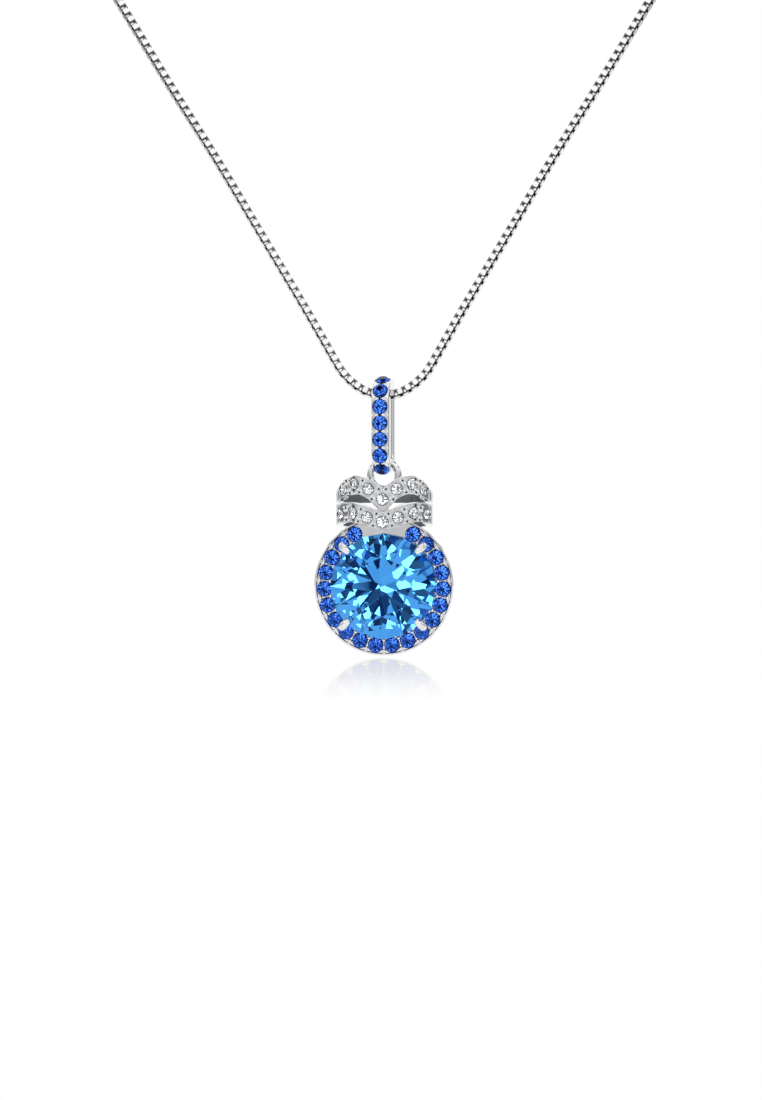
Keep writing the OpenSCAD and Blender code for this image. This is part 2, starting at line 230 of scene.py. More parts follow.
# The route over the right half, as x and z about the halo's centre, in millimetres.
ARM = [
    (0, 16.3), (0.7, 16.35), (1.4, 16.55), (2.1, 16.9), (2.9, 17.5), (3.8, 18.5), (5.2, 20.9),
    (7.1, 24.2), (10.8, 30.4), (14.5, 36.6), (18.4, 42.8), (22.6, 49.7), (26.8, 56.6), (30.4, 62.5),
]
# Over the point that carries each arm: the middle of the bend, its radius, and its angles.
HOLD = (29.2, 64.3)
HOLD_R = 2
HOLD_ANGLES = (-10, 12.5, 35, 57.5, 80)
# From the right bend in to the coil.
INWARD = [(24, 65.6), (16, 64.4), (8, 63.2), (1.5, 62.2)]
# The coil of the spare length, and its turns in order, as row from the inside and column.
COIL_Z = 57.6
COIL_R = 4.3
COIL_STEPS = 36
COIL_FROM = math.radians(100)
COIL_SLOTS = [
    (2, 0), (1, 0), (0, 0), (0, 1), (1, 1), (2, 1), (2, 2), (1, 2), (0, 2), (0, 3), (2, 3),
]
# The clasp lies on a straight line left of the coil: the chain ends on it, and starts beyond.
LINE_SLOPE = math.radians(8.7)
CHAIN_START = 20.7
CHAIN_END = 3.6
# Steps of the smooth line between two points of the route.
ROUTE_STEPS = 6


def eased(value, low, high):
    """0 below low, 1 above high and a smooth step between."""
    t = min(1, max(0, (value - low) / (high - low)))
    return t * t * (3 - 2 * t)


def smooth_line(points, steps):
    """A Catmull-Rom line through the points, as an array, with so many steps in each span."""
    p = np.array([points[0], *points, points[-1]], float)
    t = np.linspace(0, 1, steps, endpoint=False)[:, None]
    spans = [
        0.5 * (2 * b + (c - a) * t + (2 * a - 5 * b + 4 * c - d) * t**2 + (3 * b - a - 3 * c + d) * t**3)
        for a, b, c, d in zip(p, p[1:], p[2:], p[3:])
    ]
    return np.vstack([*spans, p[-1]])


def on_left_line(s):
    """A point on the line that runs left from the coil's top, s along it, as x and z."""
    x = -COIL_R * math.sin(LINE_SLOPE) - s * math.cos(LINE_SLOPE)
    return x, COIL_Z + COIL_R * math.cos(LINE_SLOPE) + s * math.sin(LINE_SLOPE)


def coil_turns():
    """The coil's turns, wound column by column, as x, y and z about the halo's centre. The last
    quarter of a turn leads over to the next one."""
    middle_row, middle_column = 1, 1.5
    points = []
    for (row, column), after in zip(COIL_SLOTS, COIL_SLOTS[1:] + COIL_SLOTS[-1:]):
        for k in range(COIL_STEPS):
            across = eased(k / COIL_STEPS, 0.75, 1)
            r = COIL_R + (row - middle_row + across * (after[0] - row)) * CHAIN_W
            y = (column - middle_column + across * (after[1] - column)) * CHAIN_W
            a = COIL_FROM + 2 * math.pi * k / COIL_STEPS
            points.append((r * math.cos(a), y, COIL_Z + r * math.sin(a)))
    return points


bend = [
    (HOLD[0] + HOLD_R * math.cos(math.radians(a)), HOLD[1] + HOLD_R * math.sin(math.radians(a)))
    for a in HOLD_ANGLES
]
run = [on_left_line(CHAIN_START), *[(-x, z) for x, z in bend[::-1]]]
run += [(-x, z) for x, z in ARM[:0:-1]] + ARM + bend + INWARD
run = [(x, 0, z) for x, z in smooth_line(run, ROUTE_STEPS)]
tail = [(x, 0, z) for x, z in (on_left_line(CHAIN_END * k / 4) for k in range(1, 5))]
chain_line = [halo + Vector(p) * MM for p in [*run, *coil_turns()[1:], *tail]]


def mesh_object(name, vertices, faces, material=None):
    """A new object from points in millimetres about the halo's centre, its faces turned outwards."""
    mesh = bpy.data.meshes.new(name)
    mesh.from_pydata([halo + Vector(v) * MM for v in vertices], [], faces)
    work = bmesh.new()
    work.from_mesh(mesh)
    bmesh.ops.recalc_face_normals(work, faces=work.faces)
    work.to_mesh(mesh)
    work.free()
    if material:
        mesh.materials.append(material)
    piece = bpy.data.objects.new(name, mesh)
    scene.collection.objects.link(piece)
    return piece


def made_mesh(piece):
    """The plain mesh that a piece's modifiers make."""
    evaluated = piece.evaluated_get(bpy.context.evaluated_depsgraph_get())
    return bpy.data.meshes.new_from_object(evaluated)


def baked(piece):
    """Turns what the piece's modifiers make into its plain mesh, and removes them."""
    mesh = made_mesh(piece)
    piece.modifiers.clear()
    piece.data = mesh
    return piece


def linear(hexed):
    """An sRGB colour such as #AABBCC, as the linear RGBA that the shaders take."""
    parts = [int(hexed[k : k + 2], 16) / 255 for k in (1, 3, 5)]
    return (*[c / 12.92 if c <= 0.04045 else ((c + 0.055) / 1.055) ** 2.4 for c in parts], 1)


def new_material(name):
    """A material to be filled in: itself, its tree, its shader, and the place on the piece."""
    material = bpy.data.materials.new(name)
    material.use_nodes = True
    tree = material.node_tree
    place = add(tree, "ShaderNodeTexCoord").outputs["Object"]
    return material, tree, tree.nodes["Principled BSDF"], place


def polished_silver(name, tone, roughness, swirl_mm):
    """Rhodium-plated silver, mirror polished: bright and cool, with the faint waviness of a
    mop-polished surface, which breaks up the reflections."""
    material, tree, shader, place = new_material(name)
    wave = add(tree, "ShaderNodeTexNoise", {"Vector": place, "Scale": 1 / (swirl_mm * MM), "Detail": 2})
    fine = add(tree, "ShaderNodeTexNoise", {"Vector": place, "Scale": 6 / (swirl_mm * MM), "Detail": 3})
    rough = add(
        tree,
        "ShaderNodeMapRange",
        {"Value": fine.outputs["Fac"], "To Min": roughness * 0.6, "To Max": roughness * 1.5},
    )
    tint = add(
        tree,
        "ShaderNodeMix",
        {0: wave.outputs["Fac"], 6: linear(tone), 7: linear("#F4F5F6")},
        data_type="RGBA",
    )
    bump = add(
        tree,
        "ShaderNodeBump",
        {"Height": wave.outputs["Fac"], "Strength": 0.05, "Distance": 0.05 * MM},
    )
    tree.links.new(tint.outputs[2], shader.inputs["Base Color"])
    tree.links.new(rough.outputs[0], shader.inputs["Roughness"])
    tree.links.new(bump.outputs[0], shader.inputs["Normal"])
    shader.inputs["Metallic"].default_value = 1
    return material


def box_chain_silver_painted_shade():
    """The same silver on the links, with painted shade that turns it nearly black inside the chain."""
    material = polished_silver("rhodium_plated_silver_box_chain_painted_shade", "#E9EBEE", 0.16, 0.5)
    tree = material.node_tree
    colour = tree.nodes["Principled BSDF"].inputs["Base Color"]
    # The inside attribute is painted shade: it darkens the links' hidden and inner faces to near black.
    inside = add(tree, "ShaderNodeAttribute", attribute_name="inside").outputs["Fac"]
    both = add(
        tree,
        "ShaderNodeMix",
        {0: inside, 6: colour.links[0].from_socket, 7: linear("#0E0F11")},
        data_type="RGBA",
    )
    tree.links.new(both.outputs[2], colour)
    return material


silver = polished_silver("rhodium_plated_silver_polished", "#E3E5E8", 0.09, 1.2)
chain_silver_painted_shade = box_chain_silver_painted_shade()

# Of a link's twelve outer facets, counted from a corner, two lie at the chain's sides and two at
# the link's ends, inside its neighbours. Painted shade goes from 0, outside, to 1, inside the chain.
SIDE_FACETS = (2, 8)
END_FACETS = (5, 11)
CORNER_PAINTED_SHADE = 0.45
STRIP_EDGE_PAINTED_SHADE = 0.85


def link_mesh():
    """One link: flat wire bent into a square loop with rounded corners, lying along X. Its faces
    say how much painted shade they get, by how far inside the chain they are."""
    outline = [(quarter, math.pi / 2 * (quarter + part / 2)) for quarter in range(4) for part in range(3)]
    vertices, faces, inside = [], [], []
    for quarter, a in outline:
        sx = 1 if quarter in (0, 3) else -1
        sz = 1 if quarter in (0, 1) else -1
        for inset, side in ((0, -1), (0, 1), (LINK_WIRE, 1), (LINK_WIRE, -1)):
            r = LINK_CORNER - inset * LINK_CORNER_SHRINK
            x = sx * (LINK_LONG / 2 - inset - r) + r * math.cos(a)
            z = sz * (LINK_ACROSS / 2 - inset - r) + r * math.sin(a)
            vertices.append((x * MM, side * LINK_STRIP / 2 * MM, z * MM))
    for k in range(12):
        for j in range(4):
            a, b = 4 * k + j, 4 * k + (j + 1) % 4
            c, d = 4 * ((k + 1) % 12) + (j + 1) % 4, 4 * ((k + 1) % 12) + j
            faces.append((a, b, c, d))
            # Painted shade: none on the side facets, full on the end facets and inner faces, part on
            # corners and strip edges.
            outer = 0 if k in SIDE_FACETS else 1 if k in END_FACETS else CORNER_PAINTED_SHADE
            inside.append((outer, STRIP_EDGE_PAINTED_SHADE, 1, STRIP_EDGE_PAINTED_SHADE)[j])
    mesh = bpy.data.meshes.new("link")
    mesh.from_pydata(vertices, [], faces)
    mesh.attributes.new("inside", "FLOAT", "FACE").data.foreach_set("value", inside)
    mesh.flip_normals()
    return mesh


def geometry_tree(name, inputs):
    """A new geometry node tree with a geometry in and out and the named inputs."""
    tree = bpy.data.node_groups.new(name, "GeometryNodeTree")
    face = tree.interface
    face.new_socket(name="Geometry", in_out="INPUT", socket_type="NodeSocketGeometry")
    face.new_socket(name="Geometry", in_out="OUTPUT", socket_type="NodeSocketGeometry")
    for label, kind in inputs:
        face.new_socket(name=label, in_out="INPUT", socket_type=kind)
    return tree


def put_tree(piece, tree, values):
    """Puts a tree on a piece, with values for the tree's named inputs."""
    modifier = piece.modifiers.new(tree.name, "NODES")
    modifier.node_group = tree
    for item in tree.interface.items_tree:
        if item.in_out == "INPUT" and item.name in values:
            modifier[item.identifier] = values[item.name]


def box_chain_tree():
    """Links along a curve, every other one turned a quarter turn about it."""
    tree = geometry_tree(
        "box_chain",
        [
            ("Link", "NodeSocketObject"),
            ("Pitch", "NodeSocketFloat"),
            ("Roll", "NodeSocketFloat"),
            ("Material", "NodeSocketMaterial"),
        ],
    )
    given = add(tree, "NodeGroupInput").outputs
    points = add(
        tree,
        "GeometryNodeCurveToPoints",
        {"Curve": given["Geometry"], "Length": given["Pitch"]},
        mode="LENGTH",
    )
    index = add(tree, "GeometryNodeInputIndex").outputs[0]
    odd = add(tree, "ShaderNodeMath", {0: index, 1: 2}, operation="MODULO")
    quarter = add(
        tree,
        "ShaderNodeMath",
        {0: odd.outputs[0], 1: math.pi / 2, 2: given["Roll"]},
        operation="MULTIPLY_ADD",
    )
    turn = add(tree, "ShaderNodeCombineXYZ", {"Z": quarter.outputs[0]})
    along = add(
        tree,
        "FunctionNodeRotateRotation",
        {"Rotation": points.outputs["Rotation"], "Rotate By": turn.outputs[0]},
        rotation_space="LOCAL",
    )
    link = add(tree, "GeometryNodeObjectInfo", {"Object": given["Link"]})
    # The link lies along X, and a curve's points run along their own Z.
    upright = add(
        tree,
        "GeometryNodeTransform",
        {"Geometry": link.outputs["Geometry"], "Rotation": (0, math.pi / 2, 0)},
    )
    links = add(
        tree,
        "GeometryNodeInstanceOnPoints",
        {
            "Points": points.outputs["Points"],
            "Instance": upright.outputs[0],
            "Rotation": along.outputs[0],
        },
    )
    real = add(tree, "GeometryNodeRealizeInstances", {"Geometry": links.outputs[0]})
    finish = add(
        tree,
        "GeometryNodeSetMaterial",
        {"Geometry": real.outputs[0], "Material": given["Material"]},
    )
    add(tree, "NodeGroupOutput", {0: finish.outputs[0]})
    return tree


link = bpy.data.objects.new("link", link_mesh())
line = bpy.data.curves.new("chain", "CURVE")
line.dimensions = "3D"
line.twist_mode = "MINIMUM"
spline = line.splines.new("POLY")
spline.points.add(len(chain_line) - 1)
for point, place in zip(spline.points, chain_line):
    point.co = (*place, 1)
carrier = bpy.data.objects.new("chain_carrier", line)
scene.collection.objects.link(carrier)
put_tree(
    carrier,
    box_chain_tree(),
    {"Link": link, "Pitch": LINK_PITCH * MM, "Roll": CHAIN_ROLL, "Material": chain_silver_painted_shade},
)
chain = bpy.data.objects.new("box_chain", made_mesh(carrier))
bpy.data.objects.remove(carrier)
scene.collection.objects.link(chain)
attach(chain, "chain")
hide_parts("chain_run", "chain_coil")


# ---- Clasp and end fittings --------------------------------------------------------------
# Lobster clasp, rings and end caps, cast and turned in the same silver, and the thread that
# ties the coil. Their edges are rounded by tumbling.
EDGE_ANGLE = math.radians(40)
FACET_ANGLE = math.radians(1)
FITTING_EDGE = 0.03
SPRING_EDGE = 0.01
TIE_EDGE = 0.12


def finished(node, body, material, edge_mm):
    """A CAD part with its edges rounded and its curved faces smooth, in place of the plain one."""
    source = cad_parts[node]
    mesh = source.data.copy()
    mesh.name = node + "_finished"
    work = bmesh.new()
    work.from_mesh(mesh)
    bmesh.ops.remove_doubles(work, verts=work.verts, dist=1e-7)
    bmesh.ops.dissolve_limit(work, angle_limit=FACET_ANGLE, verts=work.verts, edges=work.edges)
    work.to_mesh(mesh)
    work.free()
    mesh.materials.clear()
    mesh.materials.append(material)
    mesh.shade_smooth()
    piece = bpy.data.objects.new(node + "_finished", mesh)
    scene.collection.objects.link(piece)
    bevel = piece.modifiers.new("tumbled_edges", "BEVEL")
    bevel.width = edge_mm * MM
    bevel.segments = 2
    bevel.angle_limit = EDGE_ANGLE
    bevel.use_clamp_overlap = False
    level = piece.modifiers.new("flat_faces_stay_flat", "WEIGHTED_NORMAL")
    level.mode = "FACE_AREA"
    level.weight = 100
    level.keep_sharp = False
    baked(piece)
    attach(piece, body)
    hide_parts(node)
    return piece


def spring_wire():
    """Drawn steel spring wire: darker than silver and finely scratched along its length."""
    material, tree, shader, place = new_material("spring_steel_drawn")
    grain = add(tree, "ShaderNodeTexNoise", {"Vector": place, "Scale": 1 / (0.05 * MM), "Detail": 2})
    rough = add(tree, "ShaderNodeMapRange", {"Value": grain.outputs["Fac"], "To Min": 0.25, "To Max": 0.4})
    tree.links.new(rough.outputs[0], shader.inputs["Roughness"])
    shader.inputs["Base Color"].default_value = linear("#8E9297")
    shader.inputs["Metallic"].default_value = 1
    return material


def cotton_thread():
    """White cotton thread: matt, with the twist of its strands as fine slanting ridges."""
    material, tree, shader, place = new_material("cotton_thread_twisted")
    twist = add(
        tree,
        "ShaderNodeTexWave",
        {"Vector": place, "Scale": 1 / (1.2 * MM), "Distortion": 1.5},
        bands_direction="Z",
    )
    shade = add(
        tree,
        "ShaderNodeMix",
        {0: twist.outputs["Fac"], 6: linear("#CFCBC2"), 7: linear("#F3F1EC")},
        data_type="RGBA",
    )
    bump = add(tree, "ShaderNodeBump", {"Height": twist.outputs["Fac"], "Distance": 0.05 * MM})
    tree.links.new(shade.outputs[2], shader.inputs["Base Color"])
    tree.links.new(bump.outputs[0], shader.inputs["Normal"])
    shader.inputs["Roughness"].default_value = 0.85
    return material


fittings = [
    finished(node, "chain", silver, FITTING_EDGE)
    for node in ("end_caps", "clasp_ring", "end_ring", "clasp_body", "clasp_pin")
]
fittings.append(finished("clasp_spring", "chain", spring_wire(), SPRING_EDGE))
fittings.append(finished("coil_tie", "chain", cotton_thread(), TIE_EDGE))
lever = finished("clasp_lever", "clasp_lever", silver, FITTING_EDGE)


# ---- Stones ------------------------------------------------------------------------------
# Round brilliants: table, eight stars, eight kites and sixteen upper halves above the girdle,
# eight mains and sixteen lower halves below it. Each takes its place from its turned blank.
# Shares are of the stone's radius, but the pavilion's, which is of its diameter.
CROWN_ANGLE = math.radians(34.5)
PAVILION_ANGLE = math.radians(40.7)
TABLE_SHARE = 0.56
STAR_SHARE = 0.76
LOWER_SHARE = 0.26
GIRDLE_SHARE = 0.03
PAVILION_SHARE = 0.43


class Seat:
    """Where a stone sits: its middle at the girdle, the way it faces, and its diameter, in
    millimetres about the halo's centre."""

    def __init__(self, node):
        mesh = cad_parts[node].data
        points = np.zeros(len(mesh.vertices) * 3)
        mesh.vertices.foreach_get("co", points)
        points = (points.reshape(-1, 3) - np.array(halo)) / MM
        areas = np.array([face.area for face in mesh.polygons])
        centres = np.array([face.center for face in mesh.polygons])
        centres = (centres - np.array(halo)) / MM
        centroid = (centres * areas[:, None]).sum(0) / areas.sum()
        # A turned shape spreads alike two ways: its axis is the third.
        spread, axes = np.linalg.eigh(((centres - centroid).T * areas) @ (centres - centroid))
        axis = axes[:, 0 if spread[1] - spread[0] > spread[2] - spread[1] else 2]
        along = (points - centroid) @ axis
        off = np.linalg.norm(points - centroid - along[:, None] * axis, axis=1)
        # The culet is the end that comes to a point on the axis.
        low, high = along.argmin(), along.argmax()
        axis = axis if off[low] < off[high] else -axis
        culet = points[low if off[low] < off[high] else high]
        self.d = 2 * off.max()
        self.out = Vector(axis)
        self.middle = Vector(culet) + self.out * PAVILION_SHARE * self.d

    def matrix(self):
        """From a stone's own frame, its table towards +Z, to its seat."""
        return Matrix.Translation(self.middle) @ self.out.to_track_quat("Z", "Y").to_matrix().to_4x4()


def cut_stone(node, body, material):
    """A faceted brilliant in its seat, in place of the blank."""
    seat = Seat(node)
    r, g = seat.d / 2, GIRDLE_SHARE * seat.d / 2
    step = math.pi / 8

    def ring(share, z, angles):
        return [(r * share * math.cos(a), r * share * math.sin(a), z) for a in angles]

    mains = [2 * k * step for k in range(8)]
    halves = [(2 * k + 1) * step for k in range(8)]
    all16 = [k * step for k in range(16)]
    slope_up, slope_down = math.tan(CROWN_ANGLE), math.tan(PAVILION_ANGLE)
    table_height = g + r * (1 - TABLE_SHARE) * slope_up
    star_z = g + r * (1 - STAR_SHARE * math.cos(step)) * slope_up
    lower_z = -g - r * (1 - LOWER_SHARE * math.cos(step)) * slope_down
    v = ring(TABLE_SHARE, table_height, mains) + ring(STAR_SHARE, star_z, halves)
    v += ring(1, g, all16) + ring(1, -g, all16) + ring(LOWER_SHARE, lower_z, halves)
    v.append((0, 0, -g - r * slope_down))
    star, top, bottom, low, culet = 8, 16, 32, 48, 56
    faces = [tuple(range(8))]
    for k in range(8):
        after, before = (k + 1) % 8, (k - 1) % 8
        faces.append((k, star + k, after))
        faces.append((k, star + before, top + 2 * k, star + k))
        faces.append((star + k, top + 2 * k, top + 2 * k + 1))
        faces.append((star + k, top + 2 * k + 1, top + (2 * k + 2) % 16))
        faces.append((culet, low + before, bottom + 2 * k, low + k))
        faces.append((low + k, bottom + 2 * k, bottom + 2 * k + 1))
        faces.append((low + k, bottom + 2 * k + 1, bottom + (2 * k + 2) % 16))
    for k in range(16):
        faces.append((top + k, top + (k + 1) % 16, bottom + (k + 1) % 16, bottom + k))
    place = seat.matrix()
    piece = mesh_object(node + "_cut", [place @ Vector(p) for p in v], faces, material)
    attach(piece, body)
    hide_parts(node)
    return piece


def gem(name, colour, deep, sheen, ior, patch_mm):
    """A clean faceted stone, sharply polished, whose body colour drifts a little in depth."""
    material, tree, shader, place = new_material(name)
    cloud = add(tree, "ShaderNodeTexNoise", {"Vector": place, "Scale": 1 / (patch_mm * MM), "Detail": 1})
    tint = add(
        tree,
        "ShaderNodeMix",
        {0: cloud.outputs["Fac"], 6: linear(colour), 7: linear(deep)},
        data_type="RGBA",
    )
    tree.links.new(tint.outputs[2], shader.inputs["Base Color"])
    shader.inputs["Transmission Weight"].default_value = 1
    shader.inputs["Roughness"].default_value = 0.0
    shader.inputs["IOR"].default_value = ior
    shader.inputs["Specular Tint"].default_value = linear(sheen)
    return material


sky_blue = gem("blue_topaz_faceted", "#58ACF4", "#3C90EA", "#3080FF", 1.62, 2.5)
sapphire = gem("blue_sapphire_faceted", "#3C6EDC", "#1E429E", "#2C4AA8", 1.77, 0.4)
clear = gem("cubic_zirconia_clear", "#EEEFF1", "#C4C6CA", "#F4F5F7", 2.15, 0.4)

HALO = [f"halo_stone_{i:02d}" for i in range(1, 21)]
UPPER = [f"upper_stone_{i}" for i in range(1, 8)]
LOWER = [f"lower_stone_{i}" for i in range(1, 8)]
BAIL = [f"bail_stone_{i}" for i in range(1, 8)]

cut_stone("centre_stone", "pendant", sky_blue)
for node in HALO:
    cut_stone(node, "pendant", sapphire)
for node in BAIL:
    cut_stone(node, "bail", sapphire)
for node in UPPER + LOWER:
    cut_stone(node, "pendant", clear)


# ---- Halo plate --------------------------------------------------------------------------
# Cast pave plate: a flat bed with a thin raised rim, a seat drilled for each stone, and beads
# raised from the bed with a beading tool to hold them.
PLATE_R = (plate_high.x - plate_low.x) / 2 / MM
PLATE_BACK = plate_high.y / MM
PLATE_RIM = plate_low.y / MM
PLATE_BED = PLATE_RIM + 0.1
PLATE_HOLE = 3.9
PLATE_STEPS = 180
PLATE_SMOOTH = 30
RIM_W = 0.18
EDGE = 0.04
HALO_SEAT_DEEP = 1.6
HALO_BEAD_R = 0.19
HALO_BEAD_OFF = 0.46
HALO_BEAD_SUNK = 0.05
GALLERY_EDGE = 0.04
# A seat is a little wider than its stone. The drill's radius is a share of the stone's diameter,
# and the bearing's depth a share of its radius.
SEAT_GAP = 0.045
DRILL_SHARE = 0.22
BEARING_SHARE = 0.55


def around(n):
    """n angles spread evenly over a full turn."""
    return [2 * math.pi * k / n for k in range(n)]


def loft(name, rings, closed, material):
    """A skin over rings of points: the rings close on themselves, and so does the row if closed."""
    n, count = len(rings[0]), len(rings)
    faces = []
    for i in range(count if closed else count - 1):
        a, b = i * n, (i + 1) % count * n
        faces += [(a + k, a + (k + 1) % n, b + (k + 1) % n, b + k) for k in range(n)]
    if not closed:
        faces += [tuple(range(n)), tuple(range((count - 1) * n, count * n))]
    return mesh_object(name, [p for ring in rings for p in ring], faces, material)


def turned(profile, place, n):
    """Rings of a turned shape, from its (radius, height) profile about the local +Z."""
    return [
        [place @ Vector((r * math.cos(a), r * math.sin(a), z)) for a in around(n)]
        for r, z in profile
    ]


def painted_seat_shade():
    """Silver painted dark as painted shade in the drilled seats and holes."""
    material, tree, shader, place = new_material("silver_painted_shade_in_the_seats")
    grain = add(tree, "ShaderNodeTexNoise", {"Vector": place, "Scale": 1 / (0.1 * MM), "Detail": 2})
    shade = add(
        tree,
        "ShaderNodeMix",
        {0: grain.outputs["Fac"], 6: linear("#2E3034"), 7: linear("#54575D")},
        data_type="RGBA",
    )
    tree.links.new(shade.outputs[2], shader.inputs["Base Color"])
    shader.inputs["Metallic"].default_value = 1
    shader.inputs["Roughness"].default_value = 0.45
    return material


seat_shade = painted_seat_shade()


def seat_cutter(node, deep):
    """The drill and bearing cutter for one stone's seat, which goes deep millimetres down."""
    seat = Seat(node)
    r = seat.d / 2
    clear_above = 0.5
    profile = [
        (r + SEAT_GAP, clear_above),
        (r + SEAT_GAP, -GIRDLE_SHARE * r - SEAT_GAP),
        (DRILL_SHARE * seat.d, -BEARING_SHARE * r),
        (DRILL_SHARE * seat.d, -deep),
    ]
    return loft("cutter", turned(profile, seat.matrix(), 32), False, seat_shade)


def pin_cutter(place, out, r, deep):
    """A small straight hole into a surface."""
    matrix = Matrix.Translation(place) @ out.to_track_quat("Z", "Y").to_matrix().to_4x4()
    clear_above = 0.2
    return loft("cutter", turned([(r, clear_above), (r, -deep)], matrix, 10), False, seat_shade)


def joined(name, parts, material):
    """One piece from several closed shells."""
    work = bmesh.new()
    for part in parts:
        work.from_mesh(part.data)
        bpy.data.objects.remove(part)
    mesh = bpy.data.meshes.new(name)
    work.to_mesh(mesh)
    work.free()
    mesh.materials.append(material)
    piece = bpy.data.objects.new(name, mesh)
    scene.collection.objects.link(piece)
    return piece


def drilled(piece, cutters):
    """Cuts the holes, and removes the cutters."""
    tool = joined("cutters", cutters, seat_shade)
    cut = piece.modifiers.new("seats", "BOOLEAN")
    cut.object = tool
    cut.solver = "EXACT"
    # The cut faces take the cutters' dark material: painted shade in the seats and holes.
    cut.material_mode = "TRANSFER"
    cut.use_self = True
    baked(piece)
    bpy.data.objects.remove(tool)
    return piece


def smooth(piece, degrees):
    """Smooth shading, but for edges sharper than that."""
    piece.data.shade_smooth()
    piece.data.set_sharp_from_angle(angle=math.radians(degrees))


def grain_tree():
    """A round bead at each point, as big as the point's own size."""
    tree = geometry_tree(
        "bead_grains", [("Detail", "NodeSocketInt"), ("Material", "NodeSocketMaterial")]
    )
    given = add(tree, "NodeGroupInput").outputs
    bead = add(tree, "GeometryNodeMeshIcoSphere", {"Radius": 1, "Subdivisions": given["Detail"]})
    size = add(tree, "GeometryNodeInputNamedAttribute", {"Name": "size"}, data_type="FLOAT")
    points = add(tree, "GeometryNodeMeshToPoints", {"Mesh": given["Geometry"]})
    placed = add(
        tree,
        "GeometryNodeInstanceOnPoints",
        {"Points": points.outputs[0], "Instance": bead.outputs[0], "Scale": size.outputs[0]},
    )
    real = add(tree, "GeometryNodeRealizeInstances", {"Geometry": placed.outputs[0]})
    soft = add(tree, "GeometryNodeSetShadeSmooth", {0: real.outputs[0]})
    finish = add(
        tree,
        "GeometryNodeSetMaterial",
        {"Geometry": soft.outputs[0], "Material": given["Material"]},
    )
    add(tree, "NodeGroupOutput", {0: finish.outputs[0]})
    return tree


grains = grain_tree()


def beads(name, body, places):
    """Bead grains at (place, radius) pairs in millimetres about the halo's centre."""
    piece = mesh_object(name, [p for p, _ in places], [])
    size = piece.data.attributes.new("size", "FLOAT", "POINT")
    size.data.foreach_set("value", [r * MM for _, r in places])
    put_tree(piece, grains, {"Detail": 3, "Material": silver})
    baked(piece)
    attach(piece, body)
    return piece


# The plate's section, as radius and y: bed, rim, outer wall, back and inner wall.
plate_section = [
    (PLATE_HOLE + EDGE, PLATE_BED),
    (PLATE_R - RIM_W - EDGE, PLATE_BED),
    (PLATE_R - RIM_W, PLATE_BED - EDGE),
    (PLATE_R - RIM_W + EDGE, PLATE_RIM),
    (PLATE_R - EDGE, PLATE_RIM),
    (PLATE_R, PLATE_RIM + EDGE),
    (PLATE_R, PLATE_BACK - 2 * EDGE),
    (PLATE_R - 2 * EDGE, PLATE_BACK),
    (PLATE_HOLE + 2 * EDGE, PLATE_BACK),
    (PLATE_HOLE, PLATE_BACK - 2 * EDGE),
    (PLATE_HOLE, PLATE_BED + EDGE),
]
plate_rings = [
    [(r * math.sin(a), y, r * math.cos(a)) for r, y in plate_section] for a in around(PLATE_STEPS)
]
halo_plate = loft("halo_plate_pave", plate_rings, True, silver)
drilled(halo_plate, [seat_cutter(node, HALO_SEAT_DEEP) for node in HALO])
smooth(halo_plate, PLATE_SMOOTH)
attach(halo_plate, "pendant")
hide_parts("halo_plate")

# Beads between neighbouring stones, at the rim and towards the centre stone.
halo_seats = [Seat(node) for node in HALO]
halo_beads = []
for left, right in zip(halo_seats, halo_seats[1:]):
    across = (left.middle + right.middle) / 2
    ring_r = math.hypot(left.middle.x, left.middle.z)
    outward = Vector((across.x, 0, across.z)).normalized()
    for r in (ring_r + HALO_BEAD_OFF, ring_r - HALO_BEAD_OFF):
        place = (outward.x * r, PLATE_BED - HALO_BEAD_SUNK, outward.z * r)
        halo_beads.append((place, HALO_BEAD_R))
beads("halo_beads", "pendant", halo_beads)

# Behind the plate, the gallery: a wire rail on posts, soldered to the plate's back.
finished("gallery", "pendant", silver, GALLERY_EDGE)


# ---- Head --------------------------------------------------------------------------------
# Basket for the centre stone: four round claws rise from a base ring, lean out past the
# girdle and are bent down over the crown, then filed to a smooth tip.
CLAW_PATH = [
    (2.2, 1.6), (3.1, 0.1), (3.75, -0.95), (4.5, -1.6), (4.84, -2.05), (4.78, -2.42),
    (4.5, -2.62), (4.22, -2.7),
]
CLAW_RADII = [0.3, 0.3, 0.3, 0.3, 0.33, 0.36, 0.36, 0.3]
CLAWS = 4
TIP_STEPS = 4
BASE_R = 2.2
BASE_WIRE = 0.3
BASE_Y = 1.6
BASE_STEPS = 72
ROUND_STEPS = 16
HEAD_SMOOTH = 50


def sweep(name, path, radii, n, material):
    """A round bar along a path, with a radius at each point and rounded ends."""
    path = [Vector([float(c) for c in p]) for p in path]
    heads = [(b - a).normalized() for a, b in zip(path, path[1:])]
    heads = [heads[0], *[(a + b).normalized() for a, b in zip(heads, heads[1:])], heads[-1]]
    side = heads[0].orthogonal().normalized()
    rings = []
    for place, head, r in zip(path, heads, radii):
        side = (side - head * side.dot(head)).normalized()
        up = head.cross(side)
        rings.append([place + r * (side * math.cos(a) + up * math.sin(a)) for a in around(n)])
    return loft(name, rings, False, material)


def turned_about_y(points, angle):
    """Points given as (radius, y), turned round the halo's axis to an angle from the top."""
    return [(r * math.sin(angle), y, r * math.cos(angle)) for r, y in points]


